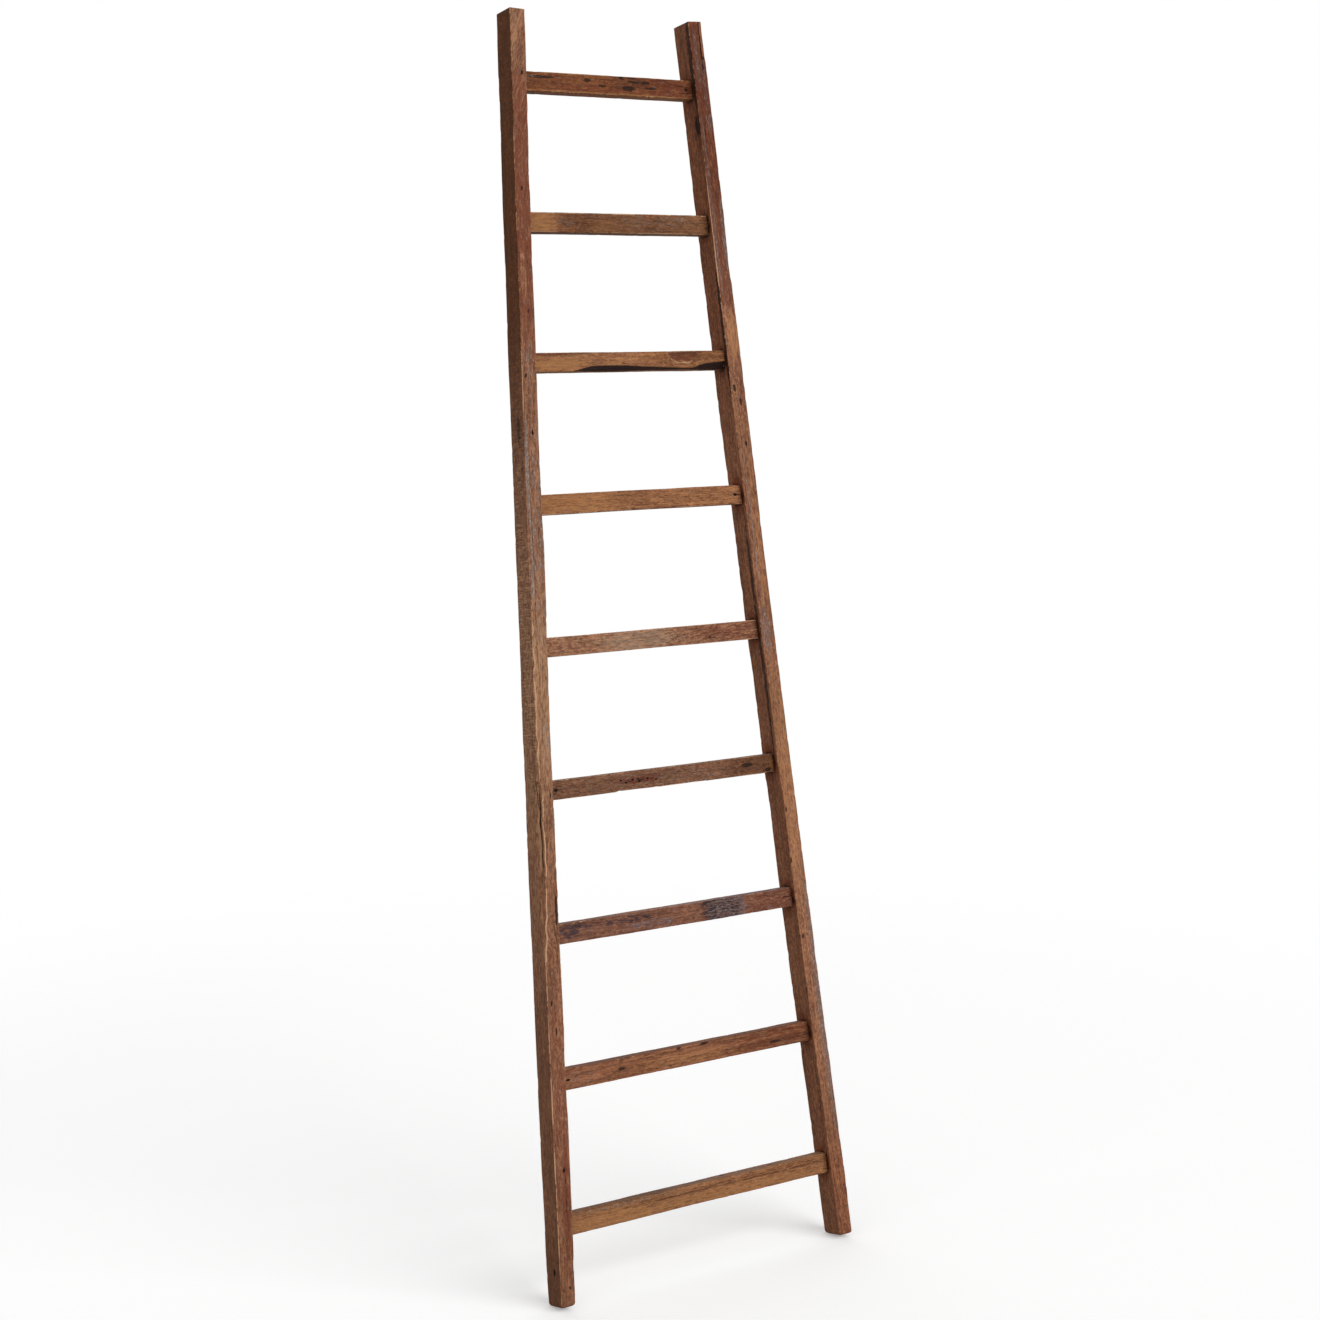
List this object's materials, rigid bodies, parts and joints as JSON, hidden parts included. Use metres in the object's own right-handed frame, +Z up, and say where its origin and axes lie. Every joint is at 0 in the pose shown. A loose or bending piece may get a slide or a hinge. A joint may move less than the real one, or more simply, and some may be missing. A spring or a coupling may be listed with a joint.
{
  "type": "towel ladder",
  "caption": "Leaning towel ladder of worn reclaimed wood: two splayed stiles joined by flat rungs with blind tenons and slanted nails.",
  "frame": {"origin": "on the floor, midway across the width and midway along the depth of ground that the leaning ladder covers, from the front of the feet to the back of the tops", "axes": "+Z up; the front faces -Y and the ladder leans back towards a wall at +Y; +X is to the right seen from the front"},
  "size_m": [0.63, 0.4002, 2.2411],
  "materials": {
    "stile_left": "hand-worn reclaimed teak, dry and open-grained",
    "stile_right": "hand-worn reclaimed teak with weathered grey flakes at the top",
    "rung_1": "hand-worn reclaimed teak, dry and open-grained",
    "rung_2": "hand-worn reclaimed teak, dry and open-grained",
    "rung_3": "hand-worn reclaimed teak, dry and open-grained",
    "rung_4": "hand-worn reclaimed teak, dry and open-grained",
    "rung_5": "hand-worn reclaimed teak, dry and open-grained",
    "rung_6": "hand-worn reclaimed teak, dry and open-grained",
    "rung_7": "hand-worn reclaimed teak, dry and open-grained",
    "rung_8": "hand-worn reclaimed teak, dry and open-grained",
    "rung_9": "hand-worn reclaimed teak, dry and open-grained",
    "nail": "dark oxidised"
  },
  "bodies": {
    "root": {"stile_left": "stile_left", "stile_right": "stile_right", "rung_1": "rung_1", "rung_2": "rung_2", "rung_3": "rung_3", "rung_4": "rung_4", "rung_5": "rung_5", "rung_6": "rung_6", "rung_7": "rung_7", "rung_8": "rung_8", "rung_9": "rung_9", "rung_1_nails": "nail", "rung_2_nails": "nail", "rung_3_nails": "nail", "rung_4_nails": "nail", "rung_5_nails": "nail", "rung_6_nails": "nail", "rung_7_nails": "nail", "rung_8_nails": "nail", "rung_9_nails": "nail"}
  },
  "joints": []
}
